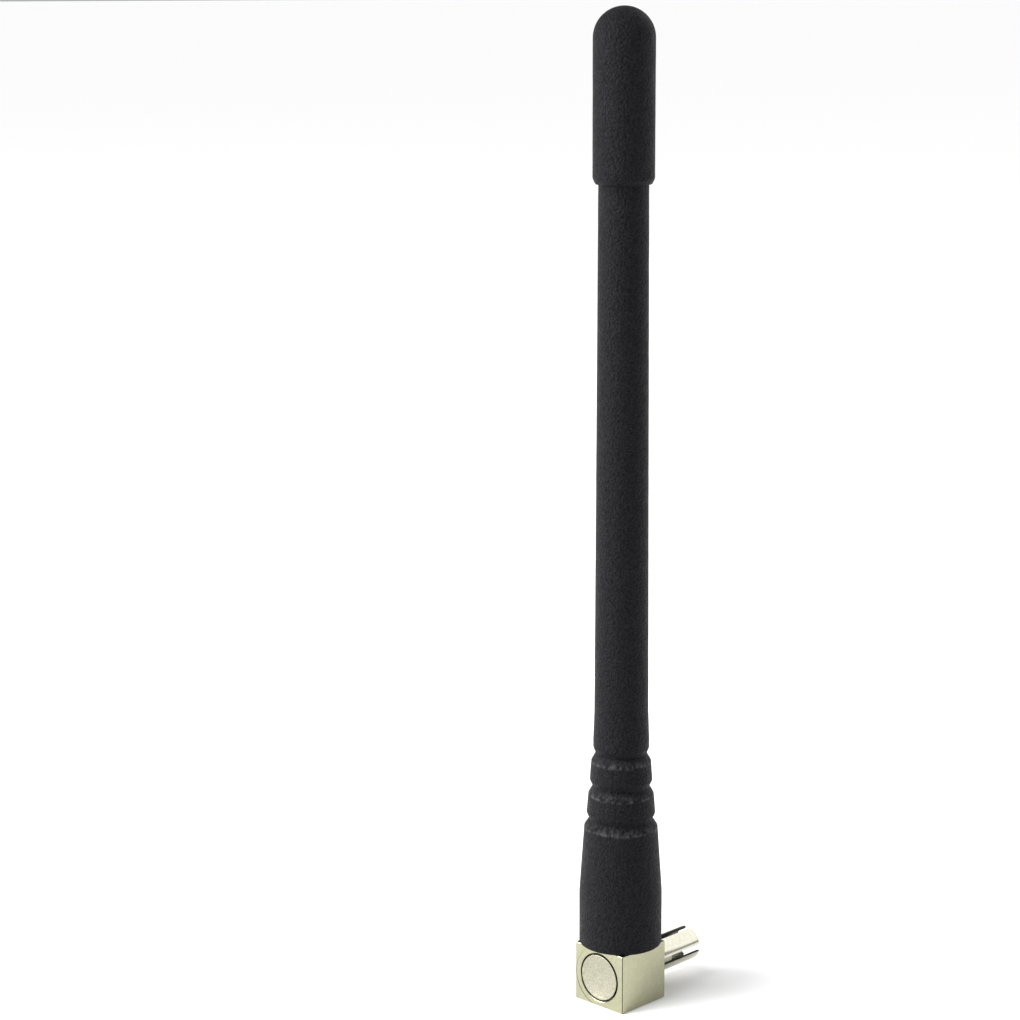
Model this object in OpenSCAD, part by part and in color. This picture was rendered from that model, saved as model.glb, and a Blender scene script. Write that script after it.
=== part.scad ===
// Right-angle whip antenna: a slim rubber whip on a square metal block with a slotted plug.
// Everything is in millimetres. The origin is the centre of the block's underside, on the
// whip's axis. +Z runs up the whip, and +Y is the way the plug is pushed into its socket.

/* [Connector block] */
// Side of the square block
block_side = 7; // [6.8:0.1:8]
// Height of the block
block_h = 6.6; // [6.4:0.1:7.6]
// Bevel along the block's edges
block_bevel = 0.12; // [0.05:0.01:0.3]
// Radius of the cavity where the cable meets the contact
cavity_r = 2.2; // [2.1:0.05:2.4]
// Thickness of the wall that holds the plug
front_wall = 1.6; // [1.4:0.1:1.9]

/* [Rear cap] */
// Radius of the pressed disc that closes the block
cap_disc_r = 2.75; // [2.6:0.05:2.9]
// Thickness of the disc
cap_disc_t = 0.9; // [0.7:0.05:1.1]
// Width of the groove round the disc's face
cap_groove = 0.2; // [0.1:0.01:0.25]
// Depth of that groove
cap_groove_depth = 0.5; // [0.2:0.05:0.6]

/* [Plug] */
// Radius of the slotted barrel
barrel_r = 1.95; // [1.9:0.01:2.1]
// Length of barrel outside the block
barrel_len = 7.9; // [7.5:0.1:8.3]
// Thickness of the barrel's wall
barrel_wall = 0.38; // [0.35:0.01:0.42]
// Rounding of the barrel's tip
barrel_round = 0.3; // [0.1:0.05:0.35]
// Number of slots that part the barrel into spring fingers
slot_count = 4; // [3:1:4]
// Width of each slot
slot_w = 0.85; // [0.5:0.05:0.9]
// Distance from the block to the closed end of the slots
slot_start = 1.5; // [1:0.1:2.5]
// Turn of the slots about the plug's axis
slot_turn = 4; // [0:1:45]
// Radius of the pin at the tip of the centre contact
pin_r = 0.25; // [0.2:0.01:0.3]
// Distance from the block to the step where the insulator narrows to its nose
nose_start = 3.5; // [3:0.1:4]
// Radius of the insulator's nose
nose_r = 1.05; // [0.9:0.05:1.2]
// How far the nose stays back from the barrel's tip
insulator_setback = 2; // [1.8:0.1:2.5]
// How far the pin stays back from the barrel's tip
pin_setback = 0.6; // [0.3:0.1:1.2]

/* [Boot] */
// Radius of the foot that stands on the block
foot_r = 4.53; // [4.3:0.01:4.8]
// Height of the bell and foot, up to the lowest groove
bell_h = 14.3; // [13:0.1:16]
// Radius at the top of the bell
bell_top_r = 4.01; // [3.9:0.01:4.2]
// Distance from one groove to the next
groove_pitch = 3.7; // [3.4:0.1:4.2]
// Height from a groove's bottom up to the lip above it
groove_rise = 0.7; // [0.5:0.05:0.8]
// Height from a groove's bottom down to the lip below it
groove_drop = 0.85; // [0.6:0.05:1]

/* [Whip] */
// Height of the whole antenna
total_h = 107.9; // [106:0.1:112]
// Radius of the sleeve where it leaves the boot
sleeve_low_r = 2.92; // [2.85:0.01:2.95]
// Radius of the sleeve at its top end
sleeve_top_r = 2.585; // [2.55:0.005:2.6]
// Radius of the flared bead at the sleeve's lower end
bead_r = 3.04; // [3:0.01:3.1]
// Radius of the sleeve's bore
sleeve_bore_r = 1.95; // [1.9:0.01:2]

/* [End cap] */
// Radius of the end cap
cap_r = 3.25; // [3.2:0.05:3.4]
// Length of the end cap, with its dome
cap_len = 18.2; // [16:0.1:20]
// Height over which the cap's lower rim is rounded off
cap_rim_h = 0.6; // [0.3:0.1:1]

/* [Cable] */
// Radius of the centre conductor
conductor_r = 0.15; // [0.12:0.01:0.18]
// Radius over the dielectric
dielectric_r = 0.42; // [0.4:0.01:0.45]
// Radius over the braid
braid_r = 0.65; // [0.62:0.01:0.7]
// Radius over the jacket
jacket_r = 0.9; // [0.85:0.01:0.92]
// Radius of the post that the braid is crimped on
post_r = 0.8; // [0.78:0.01:0.85]
// Radius of the crimped ferrule
ferrule_r = 1.42; // [1.35:0.01:1.5]
// Length of the ferrule
ferrule_len = 6.5; // [5.8:0.1:7]

/* [Radiator] */
// Radius of the quarter-wave skirt tube
skirt_r = 1.7; // [1.6:0.01:1.75]
// Length of the skirt tube
skirt_len = 28.4; // [24:0.1:30]
// Radius of the radiator's wire
wire_r = 0.32; // [0.25:0.01:0.35]
// Radius of the loading coil, at the middle of its wire
coil_r = 1.4; // [1.2:0.05:1.5]
// Number of turns in the loading coil
coil_turns = 9; // [6:1:10]
// Height of the loading coil
coil_h = 14; // [12:0.5:15]

/* [Hidden] */

// Smoothness of turned pieces, and points in a rounded corner
turn_fn = 96;
corner_steps = 6;
// Clearance between round faces that fit into each other
fit = 0.02;
// Overshoot of a cutter past the face it opens
eps = 0.5;

// Block and plug, measured along +Y from the whip's axis
half_side = block_side / 2;
plug_z = block_h / 2;
cavity_back = cap_disc_t - half_side;
cavity_front = half_side - front_wall;
barrel_tip = half_side + barrel_len;
barrel_bore_r = barrel_r - barrel_wall;
tail_r = barrel_r - 0.17;
bore_lead_in = 0.27;
insulator_tip = barrel_tip - insulator_setback;
insulator_head = 1;
nose_z = half_side + nose_start;
contact_body_r = 0.45;
contact_rear_r = 0.6;
contact_rear = -0.9;
contact_slot_w = 2 * conductor_r + 0.06;
contact_slot_z = plug_z - 0.15;
rear_insulator_t = 0.4;

// Crimp: post, ferrule and shrink tube, measured up from the block's top
post_base_r = 1.3;
collar_r = 1.8;
collar_top = block_h + 0.8;
post_low = block_h - 1;
post_top = collar_top + 5;
post_bore_r = dielectric_r + 0.06;
crimp_braid_r = post_r + 0.2;
ferrule_top = collar_top + ferrule_len;
jacket_low = ferrule_top - 0.7;
shrink_t = 0.25;
shrink_low = collar_top + 1;
shrink_neck = ferrule_top + 1;
shrink_top = ferrule_top + 3.6;

// Boot: a bell, then two rings with a groove below each and a last groove under the sleeve
bell_top = block_h + bell_h - groove_drop;
groove_z = [for (i = [0:2]) block_h + bell_h + i * groove_pitch];
groove_r = [3.45, 3.08, 2.78];
ring_low_r = [3.75, 3.41];
ring_top_r = [3.57, 3.26];
foot_round = 0.25;
bell_round = 9;
lip_round = 0.4;
groove_round = 0.12;
spigot_top = groove_z[2] + 4;

// Sleeve and end cap
sleeve_low = groove_z[2];
sleeve_top = total_h - 5;
bead_h = 1.5;
flare_top = sleeve_low + 4.7;
flare_round = 6;
cap_low = total_h - cap_len;
cap_rim_w = 0.3;
cap_rim_round = 0.8;
cap_lip_round = 0.2;
function sleeve_r(z) = sleeve_low_r + (sleeve_top_r - sleeve_low_r) * (z - flare_top)
    / (sleeve_top - flare_top);

// Radiator, from the skirt's open end up to the tip of the wire
skirt_low = spigot_top + 1.6;
skirt_top = skirt_low + skirt_len;
skirt_wall = 0.2;
skirt_end_wall = 0.4;
solder_h = 0.5;
bead_low = skirt_top + solder_h;
bead_top = bead_low + 3;
splice_r = 0.6;
splice_top = bead_top + 4.2;
wire_low = bead_top + 2.2;
wire_top = sleeve_top - 2;
coil_low = splice_top + 4.6;
coil_lead = 2;
spacer_low = wire_top - 5.2;
spacer_h = 3.5;

// Corner rounding: each outline point is [radius, height, corner radius]
function unit(v) = v / norm(v);
function flat(p) = [p.x, p.y];
function arc(centre, r, from, sweep) = [
    for (k = [0:corner_steps])
        let (a = from + sweep * k / corner_steps) centre + r * [cos(a), sin(a)]];
function corner(before, p, after) = let (
    u = unit(flat(before) - flat(p)),
    v = unit(flat(after) - flat(p)),
    half = acos(u * v) / 2,
    centre = flat(p) + unit(u + v) * p.z / sin(half),
    first = flat(p) + u * p.z / tan(half) - centre,
    last = flat(p) + v * p.z / tan(half) - centre,
    from = atan2(first.y, first.x),
    sweep = (atan2(last.y, last.x) - from + 540) % 360 - 180)
    arc(centre, p.z, from, sweep);
function rounded(path) = let (n = len(path)) [
    for (i = [0:n - 1]) let (p = path[i])
        each p.z > 0 ? corner(path[(i + n - 1) % n], p, path[(i + 1) % n]) : [flat(p)]];

// A piece turned about the whip's axis from an outline with rounded corners
module turned(path) {
    rotate_extrude($fn = turn_fn) polygon(rounded(path));
}

// Puts a piece that was drawn along +Z on the plug's axis, pointing along +Y
module on_plug_axis() {
    translate([0, 0, plug_z]) rotate([-90, 0, 0]) children();
}

// A cylinder between two heights
module rod(r, low, high) {
    translate([0, 0, low]) cylinder(r = r, h = high - low, $fn = turn_fn);
}

// A tube between two heights
module tube(outer, inner, low, high) {
    difference() {
        rod(outer, low, high);
        rod(inner, low - eps, high + eps);
    }
}

// A square bar of side a and height b with bevelled edges, centred on its axis
module bevelled_bar(a, b, length) {
    x = a / 2;
    y = b / 2;
    c = block_bevel;
    linear_extrude(length, center = true)
        polygon([[x - c, -y], [x, c - y], [x, y - c], [x - c, y],
                 [c - x, y], [-x, y - c], [-x, c - y], [c - x, -y]]);
}

// Rubber cap pushed over the top of the sleeve, with a domed end and a rounded rim
module end_cap() {
    color("#2b2b2d") difference() {
        union() {
            turned([[0, cap_low, 0], [cap_r - cap_rim_w, cap_low, cap_lip_round],
                    [cap_r, cap_low + cap_rim_h, cap_rim_round],
                    [cap_r, total_h - cap_r, 0], [0, total_h - cap_r, 0]]);
            translate([0, 0, total_h - cap_r]) sphere(r = cap_r, $fn = turn_fn);
        }
        turned([[0, cap_low - eps, 0], [sleeve_r(cap_low - eps) + fit, cap_low - eps, 0],
                [sleeve_r(sleeve_top) + fit, sleeve_top, 0], [0, sleeve_top, 0]]);
    }
}

// Slim tapered rubber sleeve with a flared bead where it meets the boot
module whip_sleeve() {
    color("#2b2b2d") turned([
        [sleeve_bore_r, sleeve_low, 0],
        [groove_r[2], sleeve_low, 0],
        [bead_r, sleeve_low + groove_rise, lip_round],
        [bead_r, sleeve_low + bead_h, 1],
        [sleeve_low_r, flare_top, flare_round],
        [sleeve_top_r, sleeve_top, 0],
        [sleeve_bore_r, sleeve_top, 0]]);
}

// Rubber boot moulded over the crimp: foot, bell, two strain-relief rings and a spigot
module base_boot() {
    color("#2b2b2d") turned([
        [collar_r + fit, block_h, 0],
        [foot_r, block_h, foot_round],
        [foot_r, block_h + 6, bell_round],
        [bell_top_r, bell_top, lip_round],
        [groove_r[0], groove_z[0], groove_round],
        for (i = [0:1]) each [
            [ring_low_r[i], groove_z[i] + groove_rise, lip_round],
            [ring_top_r[i], groove_z[i + 1] - groove_drop, lip_round],
            [groove_r[i + 1], groove_z[i + 1], i == 0 ? groove_round : 0]],
        [sleeve_bore_r - fit, sleeve_low, 0],
        [sleeve_bore_r - fit, spigot_top, 0.2],
        [jacket_r + fit, spigot_top, 0],
        [jacket_r + fit, shrink_top, 0],
        [jacket_r + shrink_t + fit, shrink_top, 0],
        [jacket_r + shrink_t + fit, shrink_neck, 0],
        [ferrule_r + shrink_t + fit, ferrule_top, 0],
        [ferrule_r + shrink_t + fit, shrink_low, 0],
        [ferrule_r + fit, shrink_low, 0],
        [ferrule_r + fit, collar_top, 0],
        [collar_r + fit, collar_top, 0]]);
}

// Square metal block, bored along the plug's axis and down from the cable
module connector_block() {
    color("#cfcbaa") difference() {
        translate([0, 0, plug_z]) intersection() {
            bevelled_bar(block_side, block_side, block_h);
            rotate([90, 0, 0]) bevelled_bar(block_side, block_h, block_side);
            rotate([90, 0, 90]) bevelled_bar(block_side, block_h, block_side);
        }
        on_plug_axis() {
            rod(cap_disc_r, -half_side - eps, cavity_back);
            rod(cavity_r, cavity_back - eps, cavity_front);
            rod(tail_r, cavity_front - eps, half_side + eps);
            translate([0, 0, half_side - bore_lead_in])
                cylinder(r1 = tail_r, r2 = tail_r + 2 * bore_lead_in, h = 2 * bore_lead_in,
                         $fn = turn_fn);
        }
        rod(post_base_r, plug_z, block_h + eps);
    }
}

// Disc pressed into the block behind the contact, with a groove round its face
module rear_cap() {
    color("#d6d3b6") on_plug_axis() turned([
        [0, -half_side, 0],
        [cap_disc_r - cap_groove, -half_side, 0.06],
        [cap_disc_r - cap_groove, cap_groove_depth - half_side, 0],
        [cap_disc_r - fit, cap_groove_depth - half_side, 0],
        [cap_disc_r - fit, cavity_back, 0],
        [0, cavity_back, 0]]);
}

// Outer contact of the plug: a thin barrel with a pressed tail, slotted into spring fingers.
// The first slot is cut half a finger round from the drawing's start, and the whole barrel
// is then turned to the angle at which it sits in the block.
module plug_barrel() {
    half_finger = 180 / slot_count;
    color("#e2e0cc") on_plug_axis() rotate(slot_turn - half_finger) difference() {
        turned([
            [barrel_bore_r, cavity_front, 0],
            [tail_r - fit, cavity_front, 0],
            [tail_r - fit, half_side, 0],
            [barrel_r, half_side, 0],
            [barrel_r, barrel_tip, barrel_round],
            [barrel_bore_r, barrel_tip, 0.08]]);
        for (i = [0:slot_count - 1])
            rotate(half_finger + i * 360 / slot_count)
                translate([0, -slot_w / 2, half_side + slot_start])
                    cube([2 * barrel_r, slot_w, barrel_len]);
    }
}

// White insulator that holds the centre contact inside the barrel, with a thinner nose in front
module plug_insulator() {
    color("#f2f1ec") on_plug_axis() turned([
        [contact_body_r + fit, cavity_front - insulator_head, 0],
        [cavity_r - fit, cavity_front - insulator_head, 0],
        [cavity_r - fit, cavity_front, 0],
        [barrel_bore_r - fit, cavity_front, 0],
        [barrel_bore_r - fit, nose_z, 0.1],
        [nose_r, nose_z, 0],
        [nose_r, insulator_tip, 0.1],
        [contact_body_r + fit, insulator_tip, 0]]);
}

// Centre contact: a solder end with a slot for the conductor, a body and the mating pin
module centre_contact() {
    color("#d8b458") difference() {
        on_plug_axis() turned([
            [0, contact_rear, 0],
            [contact_rear_r, contact_rear, 0.1],
            [contact_rear_r, cavity_front - insulator_head, 0],
            [contact_body_r, cavity_front - insulator_head, 0],
            [contact_body_r, insulator_tip, 0],
            [pin_r, insulator_tip, 0],
            [pin_r, barrel_tip - pin_setback, 0.15],
            [0, barrel_tip - pin_setback, 0]]);
        solder_slot();
    }
}

// Slot across the contact's rear end, open upwards
module solder_slot() {
    translate([-contact_slot_w / 2, contact_rear - eps, contact_slot_z])
        cube([contact_slot_w, eps - contact_rear + 2 * conductor_r, contact_rear_r + eps]);
}

// Drop of solder that joins the cable's conductor to the contact
module contact_solder() {
    color("#b9bbbd") difference() {
        translate([0, 0, plug_z + contact_rear_r]) sphere(r = 0.55, $fn = 48);
        centre_contact();
        rod(conductor_r, 0, block_h);
    }
}

// Thin white disc that keeps the contact clear of the rear cap
module rear_insulator() {
    color("#f2f1ec") on_plug_axis() rod(cavity_r - fit, cavity_back, cavity_back + rear_insulator_t);
}

// Metal post pressed into the block's top, with a collar and a thin neck for the braid
module crimp_post() {
    color("#cfcbaa") turned([
        [post_bore_r, post_low, 0],
        [post_base_r - fit, post_low, 0],
        [post_base_r - fit, block_h, 0],
        [collar_r, block_h, 0],
        [collar_r, collar_top, 0],
        [post_r, collar_top, 0],
        [post_r, post_top, 0],
        [post_bore_r, post_top, 0]]);
}

// Ferrule that clamps the braid onto the post
module crimp_ferrule() {
    color("#cfcbaa") tube(ferrule_r, crimp_braid_r + fit, collar_top, ferrule_top);
}

// Shrink tube over the ferrule and the end of the jacket
module ferrule_shrink() {
    color("#1d1d1f") turned([
        [ferrule_r + fit, shrink_low, 0],
        [ferrule_r + shrink_t, shrink_low, 0],
        [ferrule_r + shrink_t, ferrule_top, 0],
        [jacket_r + shrink_t, shrink_neck, 0],
        [jacket_r + shrink_t, shrink_top, 0],
        [jacket_r + fit, shrink_top, 0],
        [jacket_r + fit, shrink_neck, 0],
        [ferrule_r + fit, ferrule_top, 0]]);
}

// Centre conductor, from the contact up into the radiator's splice
module cable_conductor() {
    color("#c98a5b") rod(conductor_r, contact_slot_z, wire_low);
}

// Clear dielectric round the conductor
module cable_dielectric() {
    color("#e9e6da") tube(dielectric_r, conductor_r + fit, post_low - 0.4, bead_top);
}

// Braid, opened out over the post and then tight on the dielectric up to the skirt's end
module cable_braid() {
    color("#b7b9bb") turned([
        [post_r + fit, collar_top, 0],
        [crimp_braid_r, collar_top, 0],
        [crimp_braid_r, post_top, 0],
        [braid_r, post_top + 0.5, 0],
        [braid_r, bead_low, 0],
        [dielectric_r + fit, bead_low, 0],
        [dielectric_r + fit, post_top + 0.4, 0],
        [post_r + fit, post_top, 0]]);
}

// Outer jacket, stripped where the braid is crimped and where it meets the skirt
module cable_jacket() {
    color("#6b4a34") tube(jacket_r, braid_r + fit, jacket_low, skirt_top - 2);
}

// Quarter-wave skirt: a metal tube over the cable, closed onto the braid at its top
module skirt_tube() {
    color("#c9a45c") turned([
        [skirt_r - skirt_wall, skirt_low, 0],
        [skirt_r, skirt_low, 0],
        [skirt_r, skirt_top, 0.15],
        [braid_r + fit, skirt_top, 0],
        [braid_r + fit, skirt_top - skirt_end_wall, 0],
        [skirt_r - skirt_wall, skirt_top - skirt_end_wall, 0]]);
}

// Bush that centres the cable in the skirt's open end
module skirt_spacer() {
    color("#f2f1ec") turned([
        [jacket_r + fit, skirt_low - 1.6, 0],
        [skirt_r, skirt_low - 1.6, 0],
        [skirt_r, skirt_low, 0],
        [skirt_r - skirt_wall - fit, skirt_low, 0],
        [skirt_r - skirt_wall - fit, skirt_low + 1.5, 0],
        [jacket_r + fit, skirt_low + 1.5, 0]]);
}

// Ring of solder between the braid and the skirt's end
module skirt_solder() {
    color("#b9bbbd") turned([
        [braid_r + fit, skirt_top, 0],
        [braid_r + 0.6, skirt_top, 0],
        [braid_r + 0.15, bead_low, 0],
        [braid_r + fit, bead_low, 0]]);
}

// Plastic bead that holds the skirt and the radiator apart
module feed_bead() {
    color("#e9e6da") tube(sleeve_bore_r - 0.05, dielectric_r + fit, bead_low, bead_top);
}

// Small metal tube that joins the conductor to the radiator's wire
module radiator_splice() {
    color("#c9a45c") turned([
        [conductor_r + fit, bead_top, 0],
        [splice_r, bead_top, 0],
        [splice_r, splice_top, 0.1],
        [wire_r + fit, splice_top, 0],
        [wire_r + fit, wire_low, 0],
        [conductor_r + fit, wire_low, 0]]);
}

// Centre line of the radiator: straight, then out into the coil's turns, and back to the axis
function ease(t) = let (s = min(1, max(0, t))) s * s * (3 - 2 * s);
function wire_point(z) = let (
    spread = ease((z - coil_low + coil_lead) / coil_lead)
        * ease((coil_low + coil_h + coil_lead - z) / coil_lead),
    turn = 360 * coil_turns * (z - coil_low) / coil_h)
    [coil_r * spread * cos(turn), coil_r * spread * sin(turn), z];
coil_points = 12 * coil_turns * (coil_h + 2 * coil_lead) / coil_h;
coil_start = coil_low - coil_lead;
coil_end = coil_low + coil_h + coil_lead;
wire_path = concat(
    [[0, 0, wire_low]],
    [for (k = [0:coil_points]) wire_point(coil_start + (coil_end - coil_start) * k / coil_points)],
    [[0, 0, wire_top]]);

// A ring of points square to the path at its point i
wire_sides = 6;
function heading(path, i) = unit(path[min(i + 1, len(path) - 1)] - path[max(i - 1, 0)]);
function wire_ring(path, i) = let (
    along = heading(path, i),
    turn = 360 * coil_turns * (path[i].z - coil_low) / coil_h,
    radial = [cos(turn), sin(turn), 0],
    across = unit(radial - along * (radial * along)),
    up = cross(along, across))
    [for (s = [0:wire_sides - 1]) let (a = 360 * s / wire_sides)
        path[i] + wire_r * (cos(a) * across + sin(a) * up)];

// Radiating wire with a loading coil wound in it
module radiator_wire() {
    rings = len(wire_path);
    n = wire_sides;
    points = [for (i = [0:rings - 1]) each wire_ring(wire_path, i)];
    walls = [for (i = [0:rings - 2]) for (s = [0:n - 1])
        let (a = i * n + s, b = i * n + (s + 1) % n) each [[a, a + n, b], [b, a + n, b + n]]];
    ends = [[for (s = [0:n - 1]) s], [for (s = [n - 1:-1:0]) (rings - 1) * n + s]];
    color("#c98a5b") polyhedron(points, concat(walls, ends));
}

// Soft disc that centres the wire's tip in the sleeve
module tip_spacer() {
    color("#d9d7d0") tube(sleeve_bore_r - fit, wire_r + fit, spacer_low, spacer_low + spacer_h);
}

end_cap();
whip_sleeve();
base_boot();
connector_block();
rear_cap();
plug_barrel();
plug_insulator();
centre_contact();
contact_solder();
rear_insulator();
crimp_post();
crimp_ferrule();
ferrule_shrink();
cable_conductor();
cable_dielectric();
cable_braid();
cable_jacket();
skirt_tube();
skirt_spacer();
skirt_solder();
feed_bead();
radiator_splice();
radiator_wire();
tip_spacer();
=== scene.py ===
import math

import bmesh
import bpy
from mathutils import Matrix, Vector, noise


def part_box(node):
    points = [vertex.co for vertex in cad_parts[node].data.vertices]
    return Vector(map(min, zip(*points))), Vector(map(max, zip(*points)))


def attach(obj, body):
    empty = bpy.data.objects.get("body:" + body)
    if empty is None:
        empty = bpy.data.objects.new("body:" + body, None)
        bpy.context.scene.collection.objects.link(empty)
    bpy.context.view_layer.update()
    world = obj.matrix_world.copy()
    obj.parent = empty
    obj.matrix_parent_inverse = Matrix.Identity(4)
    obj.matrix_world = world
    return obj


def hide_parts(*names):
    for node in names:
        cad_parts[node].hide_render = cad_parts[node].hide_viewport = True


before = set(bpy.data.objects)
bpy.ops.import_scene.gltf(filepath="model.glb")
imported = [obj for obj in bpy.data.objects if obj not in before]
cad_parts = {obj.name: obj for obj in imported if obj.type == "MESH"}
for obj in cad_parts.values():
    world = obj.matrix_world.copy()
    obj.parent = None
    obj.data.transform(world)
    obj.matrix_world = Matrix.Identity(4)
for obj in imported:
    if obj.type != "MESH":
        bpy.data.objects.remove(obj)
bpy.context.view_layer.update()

MM = 0.001

# Camera: where it stands round the whip's axis, in degrees and metres, and how it is pitched down,
# turned to the left of the axis and rolled, in degrees; its lens is in millimetres
CAMERA_AZIMUTH = 42.15
CAMERA_DISTANCE = 0.264
CAMERA_HEIGHT = 0.110
CAMERA_PITCH = 11.73
CAMERA_TURN = 2.596
CAMERA_ROLL = -0.271
CAMERA_LENS = 89.26

# Half the floor's width, in metres
FLOOR_REACH = 60

# Mesh smoothness; the last two steps are the longest straight runs on the rubber's outlines
SEGMENTS = 144
PIN_SEGMENTS = 64
CORNER_STEPS = 8
DOME_STEPS = 24
DISH_STEPS = 12
LONG_STEP = 0.8
SHORT_STEP = 0.6
SHARP_ANGLE = math.radians(38)
CUT_SHARP_ANGLE = math.radians(18)


def low(node):
    """Lowest corner of a CAD node, in millimetres."""
    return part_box(node)[0] / MM


def high(node):
    """Highest corner of a CAD node, in millimetres."""
    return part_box(node)[1] / MM


# ---------------------------------------------------------------- sizes taken from the frame

CAP_LOW, CAP_TOP, CAP_R = low("end_cap").z, high("end_cap").z, high("end_cap").x
SLEEVE_LOW, SLEEVE_TOP = low("whip_sleeve").z, high("whip_sleeve").z
BEAD_R = high("whip_sleeve").x
BLOCK_LOW, BLOCK_HIGH = low("connector_block"), high("connector_block")
HALF_SIDE = BLOCK_HIGH.y
PLUG_Z = (BLOCK_LOW.z + BLOCK_HIGH.z) / 2
FOOT_Z, FOOT_R = low("base_boot").z, high("base_boot").x
BARREL_R, BARREL_TIP, BARREL_TAIL = high("plug_barrel").x, high("plug_barrel").y, low("plug_barrel").y
DISC_R = high("rear_cap").x
DISC_BACK = high("rear_cap").y
INSULATOR_TIP = high("plug_insulator").y
INSULATOR_HEAD = low("plug_insulator").y
INSULATOR_R = high("plug_insulator").x
CONTACT_REAR, CONTACT_TIP = low("centre_contact").y, high("centre_contact").y
FERRULE_TOP = high("crimp_ferrule").z
SHRINK_R, SHRINK_TOP = high("ferrule_shrink").x, high("ferrule_shrink").z
SPIGOT_TOP = high("base_boot").z

# Sizes inside those pieces, as the CAD source has them
FIT = 0.02
SLEEVE_BORE_R = 1.95
SLEEVE_LOW_R = 2.92
SLEEVE_TOP_R = 2.585
FLARE_TOP = SLEEVE_LOW + 4.7
FLARE_ROUND = 6
BEAD_H = 1.5
CAP_RIM_W, CAP_RIM_H = 0.3, 0.6
CAP_RIM_ROUND, CAP_LIP_ROUND = 0.8, 0.2
GROOVE_PITCH = 3.7
GROOVE_Z = [SLEEVE_LOW - 2 * GROOVE_PITCH, SLEEVE_LOW - GROOVE_PITCH, SLEEVE_LOW]
GROOVE_R = [3.45, 3.08, 2.78]
GROOVE_RISE, GROOVE_DROP = 0.7, 0.85
GROOVE_ROUND = 0.12
LIP_ROUND = 0.4
RING_LOW_R = [3.75, 3.41]
RING_TOP_R = [3.57, 3.26]
BELL_TOP_R = 4.01
BELL_SHOULDER = FOOT_Z + 6
BELL_ROUND = 9
FOOT_ROUND = 0.25
SEAM_ROUND = 0.02
BLOCK_BEVEL = 0.12
BARREL_BORE_R = BARREL_R - 0.38
TAIL_R = BARREL_R - 0.17
BORE_LEAD_IN = 0.27
SLOT_W = 0.85
SLOT_START = 1.5
SLOT_TURN = 4
SLOTS = 4
NOSE_R = 1.05
NOSE_Z = HALF_SIDE + 3.5
DISC_GROOVE = 0.2
DISC_GROOVE_DEPTH = 0.5
CAVITY_R = 2.2
POST_BASE_R = 1.3
COLLAR_R = 1.8
COLLAR_TOP = FOOT_Z + 0.8
JACKET_R = 0.9
PIN_R = 0.25
CONTACT_R = 0.45
CONTACT_REAR_R = 0.6
CONTACT_SLOT_W = 0.36

# Detail that the CAD leaves out
# The block's face round the disc is turned a hair's breadth deep, out to this radius
FACED_R = 3.36
FACED_DEPTH = 0.035
# The disc's face is very slightly dished
DISC_DISH = 0.26
# The rubber outside this radius swells in and out by RELIEF, in coarse and fine swells to a millimetre
RELIEF_FROM_R = 2.4
RELIEF = 0.012
RELIEF_COARSE, RELIEF_FINE = 0.45, 1.3
# Painted highlight on the rubber below each groove, where the lip faces up: height from the groove's
# bottom, and how pale
PAINTED_LIP_SHEEN = [(-1.15, 0), (-0.9, 0.9), (-0.72, 0.5), (-0.3, 0.15), (0, 0)]
# Its specks grow from nothing to full strength between these two values of the grain
SPECKS_FROM, SPECKS_FULL = 0.42, 0.68


# ---------------------------------------------------------------- outlines and meshes

def corner(before, point, after, radius):
    """The arc that rounds one corner of an outline, as points from its start to its end."""
    u = (Vector(before) - Vector(point)).normalized()
    v = (Vector(after) - Vector(point)).normalized()
    half = u.angle(v) / 2
    centre = Vector(point) + (u + v).normalized() * radius / math.sin(half)
    first = Vector(point) + u * radius / math.tan(half) - centre
    last = Vector(point) + v * radius / math.tan(half) - centre
    start = math.atan2(first.y, first.x)
    sweep = (math.atan2(last.y, last.x) - start + 3 * math.pi) % (2 * math.pi) - math.pi
    angles = (start + sweep * k / CORNER_STEPS for k in range(CORNER_STEPS + 1))
    return [centre + radius * Vector((math.cos(a), math.sin(a))) for a in angles]


def rounded(path):
    """A closed outline from (radius, height, corner radius) points."""
    points = []
    for i, (r, z, radius) in enumerate(path):
        before, after = path[i - 1][:2], path[(i + 1) % len(path)][:2]
        points += corner(before, (r, z), after, radius) if radius else [Vector((r, z))]
    return points


def with_rings(points, step):
    """The same closed outline with extra points wherever a straight run is longer than step."""
    dense = []
    for a, b in zip(points, points[1:] + points[:1]):
        parts = 1 if max(a.x, b.x) < 1e-6 else max(1, math.ceil((b - a).length / step))
        dense += [a.lerp(b, k / parts) for k in range(parts)]
    return dense


def finish_mesh(bm, name, scale=MM):
    """Turns a bmesh into an object with outward normals; what is still to be cut keeps scale 1."""
    bmesh.ops.remove_doubles(bm, verts=bm.verts, dist=1e-5)
    bmesh.ops.recalc_face_normals(bm, faces=bm.faces)
    bmesh.ops.scale(bm, vec=(scale, scale, scale), verts=bm.verts)
    mesh = bpy.data.meshes.new(name)
    bm.to_mesh(mesh)
    bm.free()
    return add_object(name, mesh)


def add_object(name, mesh):
    """A smooth-shaded object with this mesh, in the scene."""
    piece = bpy.data.objects.new(name, mesh)
    bpy.context.scene.collection.objects.link(piece)
    return smoothed(piece, SHARP_ANGLE)


def smoothed(piece, sharp_angle):
    """Shades a piece smooth, except at edges sharper than the angle."""
    mesh = piece.data
    mesh.polygons.foreach_set("use_smooth", [True] * len(mesh.polygons))
    mesh.set_sharp_from_angle(angle=sharp_angle)
    return piece


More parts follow.
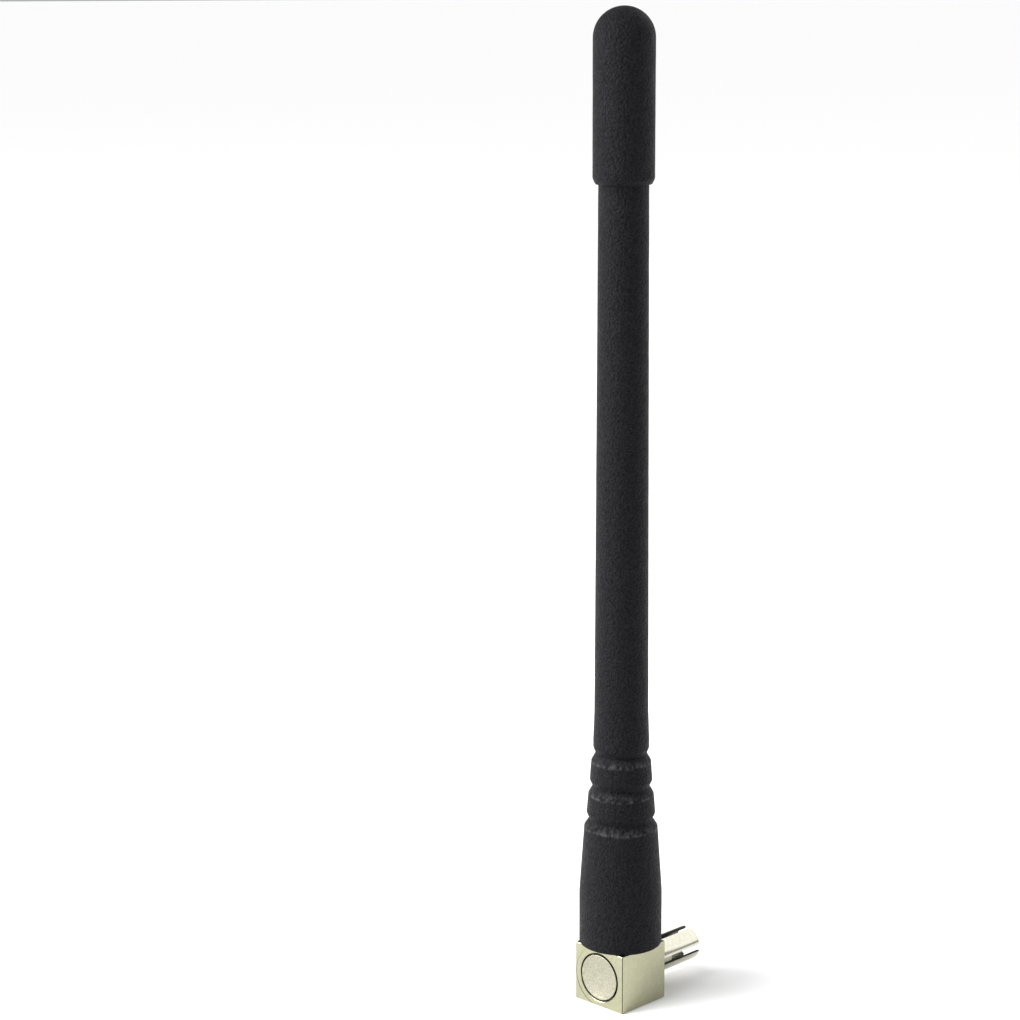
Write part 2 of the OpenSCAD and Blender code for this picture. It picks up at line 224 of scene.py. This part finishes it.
def turned_bmesh(points, segments=SEGMENTS):
    """A bmesh turned about Z from a closed outline; points on the axis become poles."""
    bm = bmesh.new()
    rings = []
    for p in points:
        if p.x < 1e-6:
            rings.append([bm.verts.new((0, 0, p.y))])
            continue
        angles = (2 * math.pi * k / segments for k in range(segments))
        rings.append([bm.verts.new((p.x * math.cos(a), p.x * math.sin(a), p.y)) for a in angles])
    for a, b in zip(rings, rings[1:] + rings[:1]):
        if len(a) == len(b) == 1:
            continue
        for k in range(segments):
            j = (k + 1) % segments
            corners = [a[k % len(a)], a[j % len(a)], b[j % len(b)], b[k % len(b)]]
            unique = list(dict.fromkeys(corners))
            bm.faces.new(unique)
    return bm


def plug_axis():
    """Turns what was drawn along +Z onto the plug's axis, along +Y."""
    return Matrix.Translation((0, 0, PLUG_Z)) @ Matrix.Rotation(-math.pi / 2, 4, "X")


def plug_radius(point):
    """A point's distance from the plug's axis."""
    return math.hypot(point.x, point.z - PLUG_Z)


def turned(name, path, step=None, relief=0.0, plug=False):
    """A turned piece from (radius, height, corner radius) points, about the whip's or plug's axis."""
    points = rounded(path)
    if step:
        points = with_rings(points, step)
    bm = turned_bmesh(points)
    if relief:
        add_relief(bm, relief)
    if plug:
        bmesh.ops.transform(bm, matrix=plug_axis(), verts=bm.verts)
    return finish_mesh(bm, name)


def add_relief(bm, depth):
    """Pushes the outer surface in and out a little, as a rubber moulding's is."""
    for v in bm.verts:
        radial = Vector((v.co.x, v.co.y, 0))
        if radial.length > RELIEF_FROM_R:
            swell = noise.noise(v.co * RELIEF_COARSE) + 0.5 * noise.noise(v.co * RELIEF_FINE)
            v.co += radial.normalized() * depth * swell


def cut(piece, cutter):
    """Subtracts the cutter's mesh from the piece's for good, and removes the cutter."""
    modifier = piece.modifiers.new("cut", "BOOLEAN")
    modifier.operation = "DIFFERENCE"
    modifier.solver = "EXACT"
    modifier.object = cutter
    graph = bpy.context.evaluated_depsgraph_get()
    mesh = bpy.data.meshes.new_from_object(piece.evaluated_get(graph))
    piece.modifiers.clear()
    piece.data = mesh
    bpy.data.objects.remove(cutter)
    return piece


def bevelled_box(name, lowest, highest, bevel, segments=4):
    """A box with rounded edges."""
    bm = bmesh.new()
    bmesh.ops.create_cube(bm, size=1)
    size = Vector(highest) - Vector(lowest)
    bmesh.ops.scale(bm, vec=size, verts=bm.verts)
    bmesh.ops.translate(bm, vec=(Vector(highest) + Vector(lowest)) / 2, verts=bm.verts)
    if bevel:
        bmesh.ops.bevel(bm, geom=bm.edges[:], offset=bevel, segments=segments, profile=0.5,
                        affect="EDGES", clamp_overlap=True)
    return finish_mesh(bm, name, scale=1)


# ---------------------------------------------------------------- materials

def new_material(name, base_color, roughness, metallic=0.0, **inputs):
    """A material with a Principled shader; inputs name further sockets, with _ for spaces."""
    material = bpy.data.materials.new(name)
    material.use_nodes = True
    shader = material.node_tree.nodes["Principled BSDF"]
    shader.inputs["Base Color"].default_value = (*base_color, 1)
    shader.inputs["Roughness"].default_value = roughness
    shader.inputs["Metallic"].default_value = metallic
    for key, value in inputs.items():
        shader.inputs[key.replace("_", " ")].default_value = value
    return material


def grain(material, size, detail=3.0, stretch=(1, 1, 1)):
    """A noise texture in the piece's own space, with grains of about size metres."""
    tree = material.node_tree
    place = tree.nodes.new("ShaderNodeTexCoord")
    mapping = tree.nodes.new("ShaderNodeMapping")
    mapping.inputs["Scale"].default_value = [s / size for s in stretch]
    texture = tree.nodes.new("ShaderNodeTexNoise")
    texture.inputs["Scale"].default_value = 1.0
    texture.inputs["Detail"].default_value = detail
    tree.links.new(place.outputs["Object"], mapping.inputs["Vector"])
    tree.links.new(mapping.outputs["Vector"], texture.inputs["Vector"])
    return texture


def vary(material, socket, texture, lowest, highest):
    """Drives a shader socket between two values, or two colours, by a texture."""
    tree = material.node_tree
    shader = tree.nodes["Principled BSDF"]
    ramp = tree.nodes.new("ShaderNodeValToRGB")
    ramp.color_ramp.elements[0].position = 0.3
    ramp.color_ramp.elements[1].position = 0.7
    for element, value in zip(ramp.color_ramp.elements, (lowest, highest)):
        element.color = (*value, 1) if isinstance(value, tuple) else (value, value, value, 1)
    tree.links.new(texture.outputs["Fac"], ramp.inputs["Fac"])
    tree.links.new(ramp.outputs["Color"], shader.inputs[socket])


def bump(material, *layers):
    """Chains bump nodes, each from (texture, height in metres, strength)."""
    tree = material.node_tree
    shader = tree.nodes["Principled BSDF"]
    previous = None
    for texture, height, strength in layers:
        node = tree.nodes.new("ShaderNodeBump")
        node.inputs["Distance"].default_value = height
        node.inputs["Strength"].default_value = strength
        tree.links.new(texture.outputs["Fac"], node.inputs["Height"])
        if previous:
            tree.links.new(previous.outputs["Normal"], node.inputs["Normal"])
        previous = node
    tree.links.new(previous.outputs["Normal"], shader.inputs["Normal"])


def rubber_material():
    """Matt rubber with a fine grain in its colour, gloss and surface, and a painted highlight at the
    lips.
    """
    material = new_material("black_rubber", (0.0065, 0.006, 0.008), 0.55, Specular_IOR_Level=0.11)
    fine = grain(material, 0.00024)
    coarse = grain(material, 0.0011, detail=2.0, stretch=(1, 1, 0.5))
    vary(material, "Base Color", fine, (0.0001, 0.0001, 0.0005), (0.0115, 0.0107, 0.0148))
    # Painted highlight: a pale colour in bands on the lips below the grooves
    paint_lip_sheen(material, grain(material, 0.0005), (0.075, 0.073, 0.077))
    vary(material, "Roughness", grain(material, 0.0007), 0.48, 0.62)
    bump(material, (coarse, 0.00005, 0.5), (fine, 0.00028, 1.0))
    return material


def stretched(material, socket, lowest, highest):
    """A socket's values, stretched so that lowest becomes 0 and highest becomes 1."""
    tree = material.node_tree
    node = tree.nodes.new("ShaderNodeMapRange")
    node.inputs["From Min"].default_value = lowest
    node.inputs["From Max"].default_value = highest
    tree.links.new(socket, node.inputs["Value"])
    return node.outputs["Result"]


def lip_sheen_bands(material):
    """How strong the painted highlight is at each height: a colour ramp with a pale band below each
    groove.
    """
    tree = material.node_tree
    place = tree.nodes.new("ShaderNodeTexCoord")
    split = tree.nodes.new("ShaderNodeSeparateXYZ")
    tree.links.new(place.outputs["Object"], split.inputs["Vector"])
    lowest, highest = GROOVE_Z[0] - GROOVE_PITCH, GROOVE_Z[-1]
    height = stretched(material, split.outputs["Z"], lowest * MM, highest * MM)
    bands = tree.nodes.new("ShaderNodeValToRGB")
    tree.links.new(height, bands.inputs["Fac"])
    ramp = bands.color_ramp
    ramp.elements[0].color = ramp.elements[1].color = (0, 0, 0, 1)
    for groove in GROOVE_Z:
        for offset, value in PAINTED_LIP_SHEEN:
            element = ramp.elements.new((groove + offset - lowest) / (highest - lowest))
            element.color = (value, value, value, 1)
    return bands.outputs["Color"]


def live_socket(sockets, name):
    """The socket of this name that the node's data type uses."""
    return next(socket for socket in sockets if socket.enabled and socket.name == name)


def paint_lip_sheen(material, texture, color):
    """Mixes a paler colour, a painted highlight, into the base colour, in bands that the texture
    breaks into specks.
    """
    tree = material.node_tree
    shader = tree.nodes["Principled BSDF"]
    speckle = tree.nodes.new("ShaderNodeMath")
    speckle.operation = "MULTIPLY"
    mix = tree.nodes.new("ShaderNodeMix")
    mix.data_type = "RGBA"
    live_socket(mix.inputs, "B").default_value = (*color, 1)
    specks = stretched(material, texture.outputs["Fac"], SPECKS_FROM, SPECKS_FULL)
    plain = shader.inputs["Base Color"].links[0].from_socket
    tree.links.new(lip_sheen_bands(material), speckle.inputs[0])
    tree.links.new(specks, speckle.inputs[1])
    tree.links.new(speckle.outputs["Value"], live_socket(mix.inputs, "Factor"))
    tree.links.new(plain, live_socket(mix.inputs, "A"))
    tree.links.new(live_socket(mix.outputs, "Result"), shader.inputs["Base Color"])


def plated_material(name, base_color, roughness, grain_size, grain_height, strength=0.5, spread=0.06):
    """Nickel plate: smooth, or with a grain under it; spread is how much its tone varies."""
    material = new_material(name, base_color, roughness, metallic=1.0)
    texture = grain(material, grain_size)
    dark = tuple(c * (1 - spread) for c in base_color)
    bright = tuple(min(1.0, c * (1 + spread)) for c in base_color)
    vary(material, "Base Color", grain(material, grain_size), dark, bright)
    vary(material, "Roughness", grain(material, grain_size * 2), roughness * 0.85, roughness * 1.2)
    bump(material, (texture, grain_height, strength))
    return material


def plain_material(name, base_color, roughness, metallic=0.0, size=0.0004, **inputs):
    """An inner piece's material: its colour and roughness vary a little, over a fine grain."""
    material = new_material(name, base_color, roughness, metallic, **inputs)
    texture = grain(material, size)
    vary(material, "Base Color", texture, tuple(c * 0.9 for c in base_color),
         tuple(min(1.0, c * 1.06) for c in base_color))
    vary(material, "Roughness", grain(material, size * 2), roughness * 0.85, roughness * 1.15)
    bump(material, (texture, 0.00001, 0.4))
    return material


# ---------------------------------------------------------------- visible pieces

def sleeve_r(z):
    """The sleeve's radius on its long taper."""
    return SLEEVE_LOW_R + (SLEEVE_TOP_R - SLEEVE_LOW_R) * (z - FLARE_TOP) / (SLEEVE_TOP - FLARE_TOP)


def make_end_cap():
    """Domed cap: a rounded rim, a straight side and a half-round top over the sleeve's end."""
    dome = [(CAP_R * math.cos(a), CAP_TOP - CAP_R + CAP_R * math.sin(a), 0)
            for a in (math.pi / 2 * k / DOME_STEPS for k in range(1, DOME_STEPS))]
    path = [(sleeve_r(CAP_LOW) + FIT, CAP_LOW, 0.05), (CAP_R - CAP_RIM_W, CAP_LOW, CAP_LIP_ROUND),
            (CAP_R, CAP_LOW + CAP_RIM_H, CAP_RIM_ROUND),
            (CAP_R, CAP_TOP - CAP_R, 0), *dome, (0, CAP_TOP, 0), (0, SLEEVE_TOP, 0),
            (sleeve_r(SLEEVE_TOP) + FIT, SLEEVE_TOP, 0)]
    return turned("end_cap_rubber", path, LONG_STEP, RELIEF)


def make_sleeve():
    """Long tapered tube, with a flare and a small bead at its lower end."""
    path = [(SLEEVE_BORE_R, SLEEVE_LOW, 0), (GROOVE_R[2], SLEEVE_LOW, SEAM_ROUND),
            (BEAD_R, SLEEVE_LOW + GROOVE_RISE, LIP_ROUND), (BEAD_R, SLEEVE_LOW + BEAD_H, 1),
            (SLEEVE_LOW_R, FLARE_TOP, FLARE_ROUND), (SLEEVE_TOP_R, SLEEVE_TOP, 0.1),
            (SLEEVE_BORE_R, SLEEVE_TOP, 0)]
    return turned("whip_sleeve_rubber", path, LONG_STEP, RELIEF)


def make_boot():
    """Boot: a bell on a round foot, two strain-relief rings and a spigot up the sleeve's bore."""
    rings = []
    for i in range(2):
        rings += [(RING_LOW_R[i], GROOVE_Z[i] + GROOVE_RISE, LIP_ROUND),
                  (RING_TOP_R[i], GROOVE_Z[i + 1] - GROOVE_DROP, LIP_ROUND),
                  (GROOVE_R[i + 1], GROOVE_Z[i + 1], GROOVE_ROUND if i == 0 else SEAM_ROUND)]
    path = [(COLLAR_R + FIT, FOOT_Z, 0), (FOOT_R, FOOT_Z, FOOT_ROUND),
            (FOOT_R, BELL_SHOULDER, BELL_ROUND),
            (BELL_TOP_R, GROOVE_Z[0] - GROOVE_DROP, LIP_ROUND),
            (GROOVE_R[0], GROOVE_Z[0], GROOVE_ROUND),
            *rings, (SLEEVE_BORE_R - FIT, SLEEVE_LOW, 0),
            (SLEEVE_BORE_R - FIT, SPIGOT_TOP, 0.2),
            (JACKET_R + FIT, SPIGOT_TOP, 0), (JACKET_R + FIT, SHRINK_TOP, 0),
            (SHRINK_R + FIT, FERRULE_TOP, 0), (SHRINK_R + FIT, COLLAR_TOP + 1, 0),
            (COLLAR_R + FIT, COLLAR_TOP, 0)]
    return turned("base_boot_rubber", path, SHORT_STEP, RELIEF)


def make_block():
    """Square block with rounded edges, a recess for the disc and a bore for the barrel."""
    block = bevelled_box("connector_block_plated", BLOCK_LOW, BLOCK_HIGH, BLOCK_BEVEL)
    back, front = -HALF_SIDE, HALF_SIDE
    bore = rounded([(0, back - 1, 0), (FACED_R, back - 1, 0), (FACED_R, back + FACED_DEPTH, 0),
                    (DISC_R + 0.08, back + FACED_DEPTH, 0), (DISC_R + FIT, back + 0.08, 0),
                    (DISC_R + FIT, DISC_BACK, 0), (CAVITY_R, DISC_BACK, 0),
                    (CAVITY_R, BARREL_TAIL, 0), (TAIL_R, BARREL_TAIL, 0),
                    (TAIL_R, front - BORE_LEAD_IN, 0), (TAIL_R + BORE_LEAD_IN + 1, front + 1, 0),
                    (0, front + 1, 0)])
    bm = turned_bmesh(bore)
    bmesh.ops.transform(bm, matrix=plug_axis(), verts=bm.verts)
    cut(block, finish_mesh(bm, "bore", scale=1))
    post = turned_bmesh(rounded([(0, PLUG_Z, 0), (POST_BASE_R, PLUG_Z, 0),
                                 (POST_BASE_R, FOOT_Z + 1, 0), (0, FOOT_Z + 1, 0)]))
    cut(block, finish_mesh(post, "post_bore", scale=1))
    block.data.transform(Matrix.Scale(MM, 4))
    return smoothed(block, CUT_SHARP_ANGLE)


def make_disc():
    """Pressed disc, with a groove round its slightly dished, blasted face."""
    edge = DISC_R - DISC_GROOVE + FIT
    dish = [(edge * k / DISH_STEPS, DISC_DISH * (1 - (k / DISH_STEPS) ** 2) - HALF_SIDE, 0)
            for k in range(1, DISH_STEPS)]
    path = [(0, DISC_DISH - HALF_SIDE, 0), *dish, (edge, -HALF_SIDE, 0.07),
            (edge, DISC_GROOVE_DEPTH - HALF_SIDE, 0),
            (DISC_R, DISC_GROOVE_DEPTH - HALF_SIDE, 0), (DISC_R, DISC_BACK, 0.03),
            (0, DISC_BACK, 0)]
    return turned("rear_cap_blasted", path, plug=True)


def make_barrel():
    """Slotted barrel: a turned tube, parted into fingers by saw cuts."""
    path = [(BARREL_BORE_R, BARREL_TAIL, 0), (TAIL_R - FIT, BARREL_TAIL, 0.05),
            (TAIL_R - FIT, HALF_SIDE, 0), (BARREL_R, HALF_SIDE, 0.03),
            (BARREL_R, BARREL_TIP, 0.28), (BARREL_BORE_R, BARREL_TIP, 0.07)]
    barrel = finish_mesh(turned_bmesh(rounded(path)), "plug_barrel_plated", scale=1)
    for k in range(SLOTS):
        slot = bevelled_box("slot", (0, -SLOT_W / 2, HALF_SIDE + SLOT_START),
                            (2 * BARREL_R, SLOT_W / 2, BARREL_TIP + 1), 0)
        turn = math.radians(SLOT_TURN) + k * 2 * math.pi / SLOTS
        slot.data.transform(Matrix.Rotation(turn, 4, "Z"))
        cut(barrel, slot)
    barrel.data.transform(Matrix.Scale(MM, 4) @ plug_axis())
    return smoothed(barrel, CUT_SHARP_ANGLE)


def make_insulator():
    """White insulator: a head in the block, a stem in the barrel and a thinner nose."""
    stem = BARREL_BORE_R - FIT
    path = [(CONTACT_R + FIT, INSULATOR_HEAD, 0), (INSULATOR_R, INSULATOR_HEAD, 0.05),
            (INSULATOR_R, INSULATOR_HEAD + 1, 0.03), (stem, INSULATOR_HEAD + 1, 0),
            (stem, NOSE_Z, 0.08), (NOSE_R, NOSE_Z, 0.03), (NOSE_R, INSULATOR_TIP, 0.1),
            (CONTACT_R + FIT, INSULATOR_TIP, 0.03)]
    return turned("plug_insulator_white", path, plug=True)


def make_contact():
    """Gold-plated contact: a body with a slot for the conductor at its rear, and a thin pin."""
    path = [(0, CONTACT_REAR, 0), (CONTACT_REAR_R, CONTACT_REAR, 0.1),
            (CONTACT_REAR_R, INSULATOR_HEAD, 0), (CONTACT_R, INSULATOR_HEAD, 0),
            (CONTACT_R, INSULATOR_TIP, 0.04), (PIN_R, INSULATOR_TIP, 0.02),
            (PIN_R, CONTACT_TIP, 0.15), (0, CONTACT_TIP, 0)]
    contact = finish_mesh(turned_bmesh(rounded(path), PIN_SEGMENTS), "centre_contact_gold", scale=1)
    contact.data.transform(plug_axis())
    half = CONTACT_SLOT_W / 2
    slot = bevelled_box("contact_slot", (-half, CONTACT_REAR - 0.5, PLUG_Z - 0.15),
                        (half, 0.3, PLUG_Z + CONTACT_REAR_R + 0.35), 0)
    cut(contact, slot)
    contact.data.transform(Matrix.Scale(MM, 4))
    return smoothed(contact, CUT_SHARP_ANGLE)


def place(piece, node, slot, material, shade=None, is_shaded=None):
    """Puts a finished piece in its CAD node's place; is_shaded picks the faces that take shade."""
    piece.data.materials.clear()
    piece.data.materials.append(material)
    if shade:
        piece.data.materials.append(shade)
        for face in piece.data.polygons:
            face.material_index = int(is_shaded(face.center / MM, face.normal))
    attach(piece, "root")
    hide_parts(node)


def block_takes_painted_dark(centre, normal):
    """True where the block takes a painted dark: painted reflection on its upright bevels and its top,
    painted shade on the wall of its recess.
    """
    edge = HALF_SIDE - BLOCK_BEVEL - 0.01
    upright = abs(normal.z) < 0.3 and min(abs(normal.x), abs(normal.y)) > 0.25
    return ((upright and min(abs(centre.x), abs(centre.y)) > edge) or normal.z > 0.75
            or (-edge < centre.y < 0 and plug_radius(centre) < DISC_R + 0.05))


def disc_takes_painted_shade(centre, normal):
    """True where the disc takes painted shade: in the groove round its face, and behind the face, out
    of sight.
    """
    in_groove = plug_radius(centre) > DISC_R - DISC_GROOVE and centre.y > 0.1 - HALF_SIDE
    return in_groove or centre.y > DISC_DISH + 0.05 - HALF_SIDE


def barrel_takes_painted_shade(centre, normal):
    """True in the barrel's bore and on the sides of its slots, where the plate takes painted shade."""
    outward = Vector((centre.x, 0, centre.z - PLUG_Z)).normalized()
    return abs(normal.y) < 0.1 and normal @ outward < 0.5


def build_pieces():
    """Makes the pieces that can be seen, or looked into, and paints the rest."""
    rubber = rubber_material()
    plated = plated_material("nickel_plate", (0.4, 0.395, 0.272), 0.22, 0.0004, 0.000006, 0.35)
    blasted = plated_material("blasted_nickel", (0.4, 0.386, 0.3), 0.36, 0.00016, 0.00004, 1.0,
                              spread=0.2)
    bright = plated_material("bright_nickel", (0.6, 0.59, 0.49), 0.14, 0.0004, 0.000004, 0.3)
    white = plain_material("white_insulator", (0.66, 0.65, 0.5), 0.4)
    gold = plain_material("gold_plate", (0.83, 0.62, 0.25), 0.2, 1.0)
    place(make_end_cap(), "end_cap", "rubber", rubber)
    place(make_sleeve(), "whip_sleeve", "rubber", rubber)
    place(make_boot(), "base_boot", "rubber", rubber)
    # Painted dark nickel: painted reflection on the block's upright bevels and top, painted shade in
    # its recess and in the disc's groove
    edge = plated_material("painted_dark_nickel", (0.07, 0.068, 0.045), 0.4, 0.0003, 0.000006)
    # Painted shade on the barrel's bore and the sides of its slots
    painted_slot_shade = plated_material("painted_shade_metal", (0.05, 0.047, 0.035), 0.45, 0.0003, 0.000006)
    place(make_block(), "connector_block", "nickel_plate", plated, edge, block_takes_painted_dark)
    # Painted shade in the groove round the disc's face
    place(make_disc(), "rear_cap", "blasted_nickel", blasted, edge, disc_takes_painted_shade)
    place(make_barrel(), "plug_barrel", "bright_nickel", bright, painted_slot_shade, barrel_takes_painted_shade)
    place(make_insulator(), "plug_insulator", "white_insulator", white)
    place(make_contact(), "centre_contact", "gold_plate", gold)
    repaint_inner(plated, white)


def repaint_inner(plated, white):
    """Gives the CAD nodes that stay, all of them inside, their materials."""
    solder = plain_material("solder", (0.6, 0.61, 0.62), 0.35, 1.0)
    shrink = plain_material("shrink_tube", (0.02, 0.02, 0.02), 0.4)
    copper = plain_material("copper", (0.72, 0.42, 0.26), 0.25, 1.0)
    clear = plain_material("cable_dielectric", (0.82, 0.8, 0.74), 0.35, Subsurface_Weight=0.3)
    braid = plain_material("braid", (0.55, 0.56, 0.57), 0.35, 1.0, size=0.00015)
    jacket = plain_material("cable_jacket", (0.25, 0.13, 0.08), 0.25)
    brass = plain_material("brass", (0.7, 0.52, 0.24), 0.25, 1.0)
    foam = plain_material("soft_spacer", (0.7, 0.69, 0.65), 0.8, size=0.0003)
    finishes = {
        plated: ["crimp_post", "crimp_ferrule"],
        white: ["rear_insulator", "skirt_spacer", "feed_bead"],
        solder: ["contact_solder", "skirt_solder"],
        shrink: ["ferrule_shrink"],
        copper: ["cable_conductor", "radiator_wire"],
        clear: ["cable_dielectric"],
        braid: ["cable_braid"],
        jacket: ["cable_jacket"],
        brass: ["skirt_tube", "radiator_splice"],
        foam: ["tip_spacer"],
    }
    for material, nodes in finishes.items():
        for name in nodes:
            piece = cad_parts[name]
            piece.data.materials.clear()
            piece.data.materials.append(material)


# ---------------------------------------------------------------- studio

def make_camera():
    """The camera, aimed a little to the left of the whip so that it stands right of the middle."""
    data = bpy.data.cameras.new("camera")
    data.lens = CAMERA_LENS
    data.sensor_width = 36
    camera = bpy.data.objects.new("camera", data)
    azimuth = math.radians(CAMERA_AZIMUTH)
    place_at = Matrix.Translation((CAMERA_DISTANCE * math.sin(azimuth),
                                   -CAMERA_DISTANCE * math.cos(azimuth), CAMERA_HEIGHT))
    heading = Matrix.Rotation(math.radians(CAMERA_AZIMUTH + CAMERA_TURN), 4, "Z")
    pitch = Matrix.Rotation(math.radians(90 - CAMERA_PITCH), 4, "X")
    roll = Matrix.Rotation(math.radians(CAMERA_ROLL), 4, "Z")
    camera.matrix_world = place_at @ heading @ pitch @ roll
    data.clip_start = 0.01
    data.clip_end = 20
    bpy.context.scene.collection.objects.link(camera)
    bpy.context.scene.camera = camera


def from_camera(azimuth, elevation):
    """The direction of a light; azimuth is counted from the camera's, to the right, in degrees."""
    turn, rise = math.radians(CAMERA_AZIMUTH + azimuth), math.radians(elevation)
    return Vector((math.sin(turn) * math.cos(rise), -math.cos(turn) * math.cos(rise), math.sin(rise)))


def add_light(data, back, location):
    """Puts a light at location, shining away from back."""
    light = bpy.data.objects.new(data.name, data)
    light.location = location
    light.rotation_euler = (-back).to_track_quat("-Z", "Y").to_euler()
    bpy.context.scene.collection.objects.link(light)


def make_light(name, azimuth, elevation, distance, size, power, target=0.05):
    """A soft box of power watts."""
    data = bpy.data.lights.new(name, "AREA")
    data.shape = "RECTANGLE"
    data.size, data.size_y = size
    data.energy = power
    back = from_camera(azimuth, elevation)
    add_light(data, back, Vector((0, 0, target)) + back * distance)


def make_sun(azimuth, elevation, spread, strength):
    """A large soft light overhead, the same all over the floor; spread is its angle in degrees."""
    data = bpy.data.lights.new("overhead", "SUN")
    data.energy = strength
    data.angle = math.radians(spread)
    back = from_camera(azimuth, elevation)
    add_light(data, back, back)


def make_floor():
    """A white floor that reaches far behind the antenna."""
    bm = bmesh.new()
    bmesh.ops.create_grid(bm, x_segments=1, y_segments=1, size=FLOOR_REACH)
    mesh = bpy.data.meshes.new("floor")
    bm.to_mesh(mesh)
    bm.free()
    floor = bpy.data.objects.new("floor", mesh)
    bpy.context.scene.collection.objects.link(floor)
    mesh.materials.append(new_material("floor", (0.97, 0.97, 0.97), 0.7, Specular_IOR_Level=0.1))


def make_world(strength):
    """Even white light from all round."""
    world = bpy.data.worlds.new("studio")
    world.use_nodes = True
    background = world.node_tree.nodes["Background"]
    background.inputs["Color"].default_value = (1, 1, 1, 1)
    background.inputs["Strength"].default_value = strength
    bpy.context.scene.world = world


def make_studio():
    """White floor, a key light from the left, a fill from behind and a soft light overhead."""
    make_floor()
    make_world(0.45)
    make_light("key", -82, 20, 0.7, (0.55, 0.35), 7)
    make_light("back", 125, 30, 0.7, (0.9, 0.6), 1.9)
    make_sun(-60, 60, 32, 2.15)
    view = bpy.context.scene.view_settings
    view.view_transform = "Standard"
    view.look = "None"


make_camera()
build_pieces()
make_studio()
